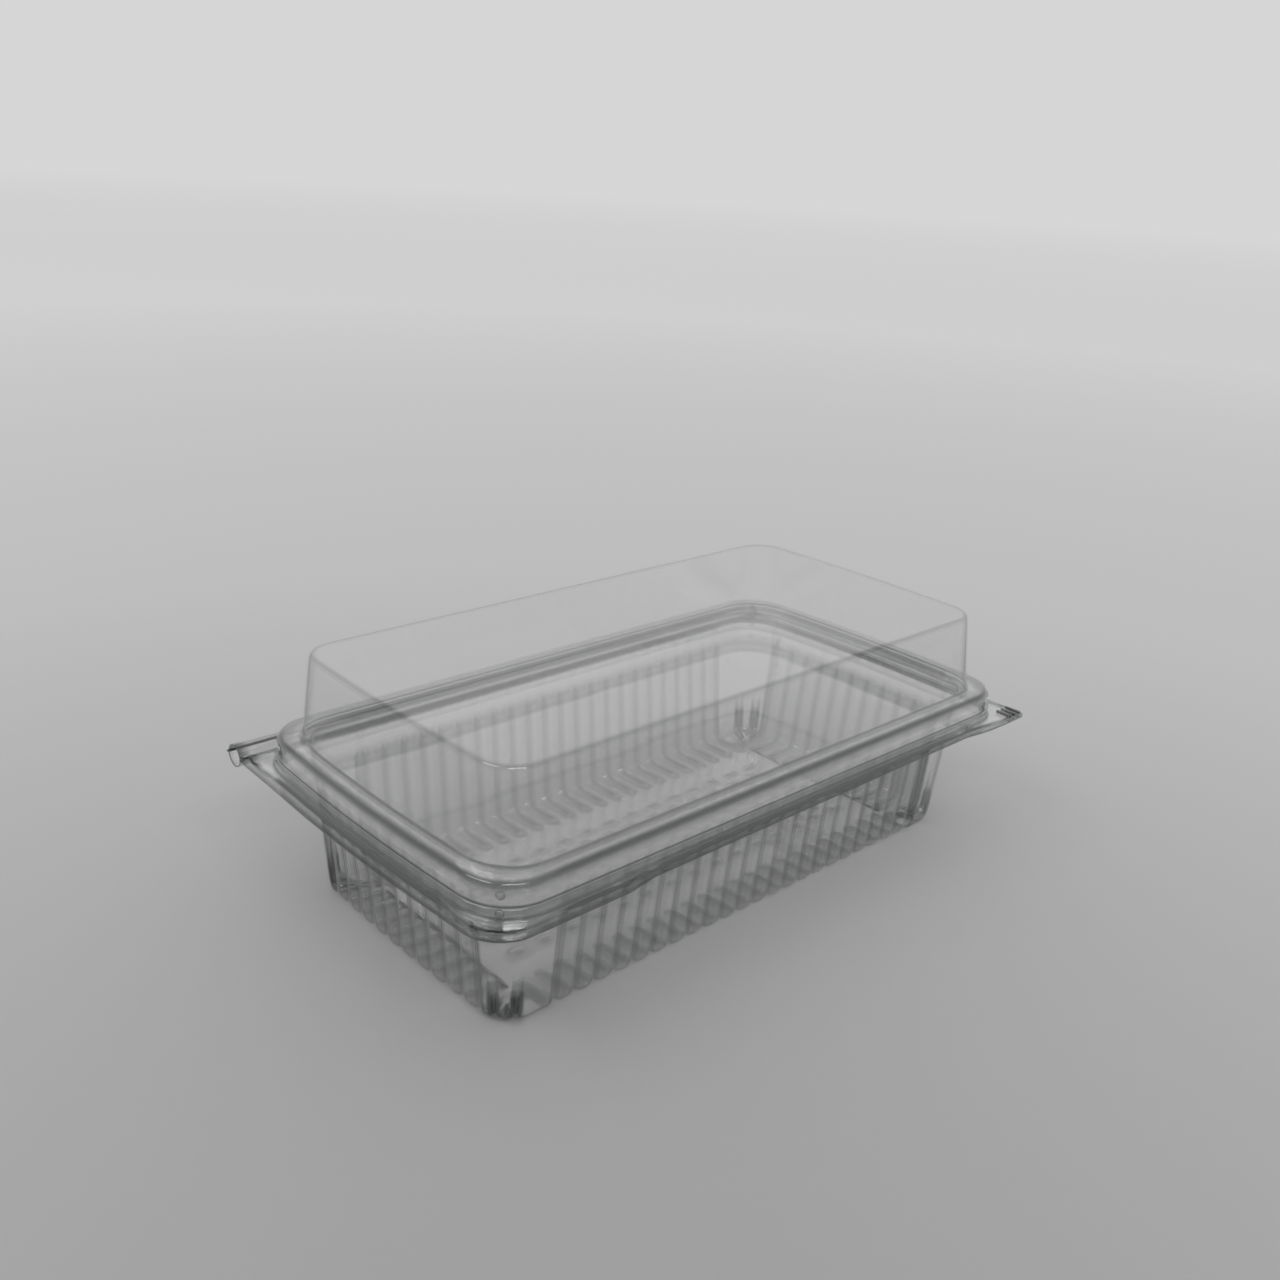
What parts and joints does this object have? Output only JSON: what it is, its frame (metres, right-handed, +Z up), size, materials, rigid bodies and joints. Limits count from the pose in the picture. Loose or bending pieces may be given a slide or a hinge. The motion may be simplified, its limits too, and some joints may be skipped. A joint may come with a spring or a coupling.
{
  "type": "clamshell pack",
  "caption": "Clear hinged bakery clamshell: a ribbed tray with a dimpled floor and rolled hinge, and a smooth domed lid that swings back flat.",
  "frame": {"origin": "middle of the tray's floor outline, on the surface that the pack stands on", "axes": "+X along the pack, +Y towards the hinge, +Z up"},
  "size_m": [0.2042, 0.1173, 0.0695],
  "materials": {
    "film_tray": "clear gloss film",
    "film_lid": "clear gloss film"
  },
  "bodies": {
    "tray": {"tray": "film_tray"},
    "lid": {"lid": "film_lid"}
  },
  "joints": [
    {"name": "lid_hinge", "type": "hinge", "parent": "tray", "child": "lid", "pos_m": [0, 0.0607, 0.03735], "axis": [-1, 0, 0], "range_deg": [0, 180]}
  ]
}
